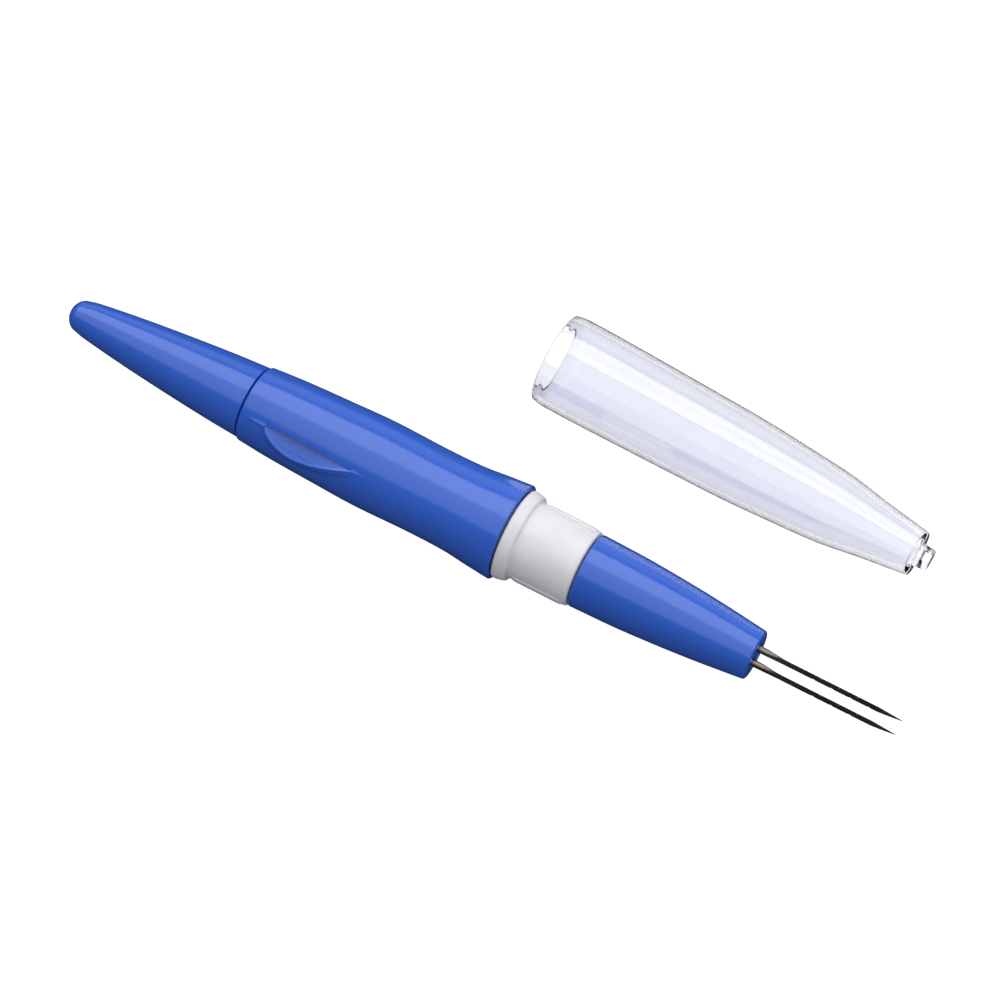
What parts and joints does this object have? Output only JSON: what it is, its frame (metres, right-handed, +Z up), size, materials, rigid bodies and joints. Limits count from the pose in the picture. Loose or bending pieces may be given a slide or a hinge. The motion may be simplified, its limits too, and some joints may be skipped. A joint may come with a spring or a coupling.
{
  "type": "needle felting pen",
  "caption": "Pen-style needle felting tool: hollow grip, pull-off tail, white collar, screw-on nose, steel felting needles, and a clear push-on cap lying beside it.",
  "frame": {"origin": "on the surface that the pen and cap lie on, under the middle of the whole", "axes": "+X along the pen towards the needle tips, +Y from the pen towards the cap, +Z up"},
  "size_m": [0.1556, 0.0484, 0.017],
  "materials": {
    "blue_plastic": "glossy injection-moulded plastic",
    "white_plastic": "satin moulded plastic",
    "needle_steel": "polished hardened steel",
    "clear_plastic": "clear glossy plastic"
  },
  "bodies": {
    "handle": {"barrel": "blue_plastic", "collar": "white_plastic"},
    "tail": {"rear_cap": "blue_plastic"},
    "needle_set": {"needle_holder": "white_plastic", "needle_1": "needle_steel", "needle_2": "needle_steel"},
    "nose": {"nose_cone": "blue_plastic"},
    "cap": {"clear_cap": "clear_plastic"}
  },
  "joints": [
    {"name": "tail_pull", "type": "slide", "parent": "handle", "child": "tail", "axis": [-1, 0, 0], "range_m": [0, 0.014]},
    {"name": "needle_feed", "type": "slide", "parent": "handle", "child": "needle_set", "axis": [1, 0, 0], "range_m": [0, 0.003]},
    {"name": "nose_turn", "type": "hinge", "parent": "needle_set", "child": "nose", "pos_m": [0.02075, -0.01572, 0.0085], "axis": [1, 0, 0], "range_deg": [0, 720]},
    {"name": "cap_pull", "type": "slide", "parent": "handle", "child": "cap", "axis": [0.9995, -0.0314, 0], "range_m": [0, 0.07]}
  ],
  "couplings": [
    {"joint": "nose_turn", "follows": "needle_feed", "rad_per_m": 4188.8}
  ]
}
